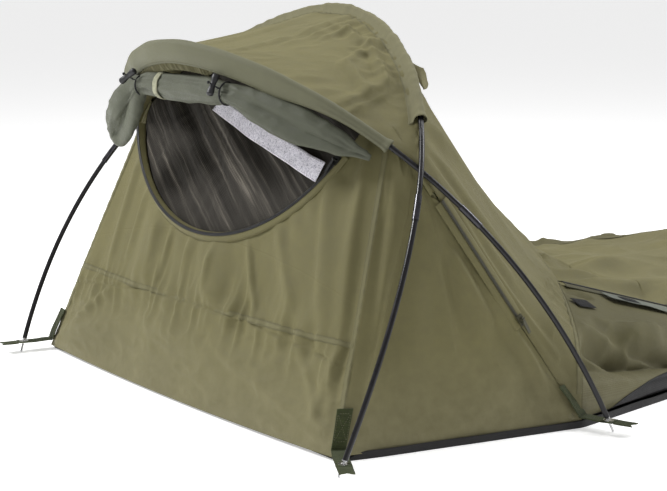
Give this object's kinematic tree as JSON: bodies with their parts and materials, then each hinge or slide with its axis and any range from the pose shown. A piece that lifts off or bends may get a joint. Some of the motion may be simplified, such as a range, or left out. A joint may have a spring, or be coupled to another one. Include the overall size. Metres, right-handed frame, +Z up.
{
  "type": "hooped bivy sack",
  "caption": "Low one-person bivy sack pitched on crossing bent hoop poles, with a mesh-backed door rolled up under a brow and a long zipped sleeping sack on a tub floor.",
  "frame": {"origin": "on the ground, midway between the feet of both hoop poles", "axes": "+Y towards the foot end, -Y towards the door, +Z up, +X to the side with the sack's zip"},
  "size_m": [1.2898, 2.3479, 0.6911],
  "materials": {
    "pole_black": "glossy glass fibre",
    "ferrule_black": "satin",
    "shock_cord": "matt braided cover",
    "pin_steel": "bright",
    "shell_olive": "matt coated nylon",
    "sleeve_grey_green": "smooth satin nylon",
    "door_lining": "coated inner face",
    "mesh_dark": "fine net",
    "webbing_green": "woven webbing",
    "eyelet_silver": "bright",
    "tub_black": "coated, dull",
    "coil_black": "nylon coil",
    "slider_dark": "satin",
    "pull_dark": "satin",
    "toggle_black": "moulded",
    "toggle_cord": "elastic cord",
    "tie_pale": "woven tape",
    "label_white": "woven, blank",
    "flap_grey": "smooth nylon",
    "patch_black": "hook and loop"
  },
  "bodies": {
    "pitched_shell": {"main_pole_section_1": "pole_black", "main_pole_section_2": "pole_black", "main_pole_section_3": "pole_black", "main_pole_section_4": "pole_black", "main_pole_section_5": "pole_black", "brow_pole_section_1": "pole_black", "brow_pole_section_2": "pole_black", "brow_pole_section_3": "pole_black", "brow_pole_section_4": "pole_black", "brow_pole_section_5": "pole_black", "pole_ferrules": "ferrule_black", "pole_shock_cords": "shock_cord", "main_pole_pins": "pin_steel", "brow_pole_pins": "pin_steel", "door_wall_lower": "shell_olive", "door_wall_upper": "shell_olive", "mesh_door": "mesh_dark", "roof_canopy": "shell_olive", "rear_slope_panel": "shell_olive", "side_wall_right": "shell_olive", "side_wall_left": "shell_olive", "main_sleeve": "shell_olive", "brow_sleeve": "sleeve_grey_green", "sack_top_panel": "shell_olive", "sack_side_right": "shell_olive", "sack_side_left": "shell_olive", "foot_end_panel": "shell_olive", "groundsheet": "tub_black", "eyelets": "eyelet_silver", "corner_strap_front_right": "webbing_green", "corner_strap_front_left": "webbing_green", "corner_strap_rear_right": "webbing_green", "corner_strap_rear_left": "webbing_green", "door_zip_coil": "coil_black", "side_zip_coil": "coil_black", "sack_zip_coil": "coil_black", "wall_patches": "patch_black", "rolled_door_flap": "door_lining", "flap_strap": "tie_pale", "toggle_loops": "toggle_cord", "blank_label": "label_white", "vent_hood": "shell_olive"},
    "sack_zip_slider": {"sack_zip_slider": "slider_dark"},
    "sack_zip_pull": {"sack_zip_pull": "pull_dark"},
    "door_zip_slider": {"door_zip_slider": "slider_dark"},
    "door_zip_pull": {"door_zip_pull": "pull_dark"},
    "side_zip_slider": {"side_zip_slider": "slider_dark"},
    "side_zip_pull": {"side_zip_pull": "pull_dark"},
    "storm_flap_front": {"storm_flap_front": "flap_grey"},
    "storm_flap_rear": {"storm_flap_rear": "flap_grey"},
    "toggle_right": {"toggle_right": "toggle_black"},
    "toggle_left": {"toggle_left": "toggle_black"},
    "tail_front_right": {"tail_front_right": "webbing_green"},
    "tail_front_left": {"tail_front_left": "webbing_green"},
    "tail_rear_right": {"tail_rear_right": "webbing_green"},
    "tail_rear_left": {"tail_rear_left": "webbing_green"}
  },
  "joints": [
    {"name": "sack_zip_run", "type": "slide", "parent": "pitched_shell", "child": "sack_zip_slider", "axis": [-0.0891, 0.996, -0.0046], "range_m": [0, 0.9664]},
    {"name": "side_zip_run", "type": "slide", "parent": "pitched_shell", "child": "side_zip_slider", "axis": [-0.2433, -0.4875, 0.8385], "range_m": [0, 0.2083]},
    {"name": "door_zip_run", "type": "hinge", "parent": "pitched_shell", "child": "door_zip_slider", "pos_m": [-0.03, 0.00589, 0.62101], "axis": [0, -0.9184, 0.3955], "range_deg": [-115, 0]},
    {"name": "sack_pull_swing", "type": "hinge", "parent": "sack_zip_slider", "child": "sack_zip_pull", "pos_m": [0.32927, 0.73837, 0.10952], "axis": [0.9804, 0.0869, -0.177], "range_deg": [0, 150]},
    {"name": "side_pull_swing", "type": "hinge", "parent": "side_zip_slider", "child": "side_zip_pull", "pos_m": [0.50845, 0.12631, 0.19239], "axis": [0.0644, -0.8707, -0.4875], "range_deg": [0, 150]},
    {"name": "door_pull_swing", "type": "hinge", "parent": "door_zip_slider", "child": "door_zip_pull", "pos_m": [0.27362, -0.07816, 0.4466], "axis": [-0.8434, 0.2125, 0.4935], "range_deg": [0, 150]},
    {"name": "storm_flap_front_fold", "type": "hinge", "parent": "pitched_shell", "child": "storm_flap_front", "pos_m": [0.32143, 0.52237, 0.15307], "axis": [-0.1236, -0.9525, 0.2784], "range_deg": [0, 155]},
    {"name": "storm_flap_rear_fold", "type": "hinge", "parent": "pitched_shell", "child": "storm_flap_rear", "pos_m": [0.34442, 0.71942, 0.09938], "axis": [0.0891, -0.996, 0.0046], "range_deg": [0, 100]},
    {"name": "toggle_right_turn", "type": "hinge", "parent": "pitched_shell", "child": "toggle_right", "pos_m": [0.118, -0.20675, 0.56346], "axis": [0, -0.8751, 0.484], "range_deg": [-60, 60]},
    {"name": "toggle_left_turn", "type": "hinge", "parent": "pitched_shell", "child": "toggle_left", "pos_m": [-0.146, -0.20575, 0.56246], "axis": [0, -0.8751, 0.484], "range_deg": [-60, 60]},
    {"name": "tail_front_right_lift", "type": "hinge", "parent": "pitched_shell", "child": "tail_front_right", "pos_m": [0.51124, -0.24912, 0.02], "axis": [-0.5351, -0.8448, 0], "range_deg": [-20, 80]},
    {"name": "tail_front_left_lift", "type": "hinge", "parent": "pitched_shell", "child": "tail_front_left", "pos_m": [-0.5027, -0.25502, 0.02], "axis": [-0.9793, 0.2026, 0], "range_deg": [-20, 80]},
    {"name": "tail_rear_right_lift", "type": "hinge", "parent": "pitched_shell", "child": "tail_rear_right", "pos_m": [0.60877, 0.24572, 0.02], "axis": [0.28, -0.96, 0], "range_deg": [-20, 80]},
    {"name": "tail_rear_left_lift", "type": "hinge", "parent": "pitched_shell", "child": "tail_rear_left", "pos_m": [-0.60877, 0.24572, 0.02], "axis": [0.28, 0.96, 0], "range_deg": [-20, 80]}
  ]
}
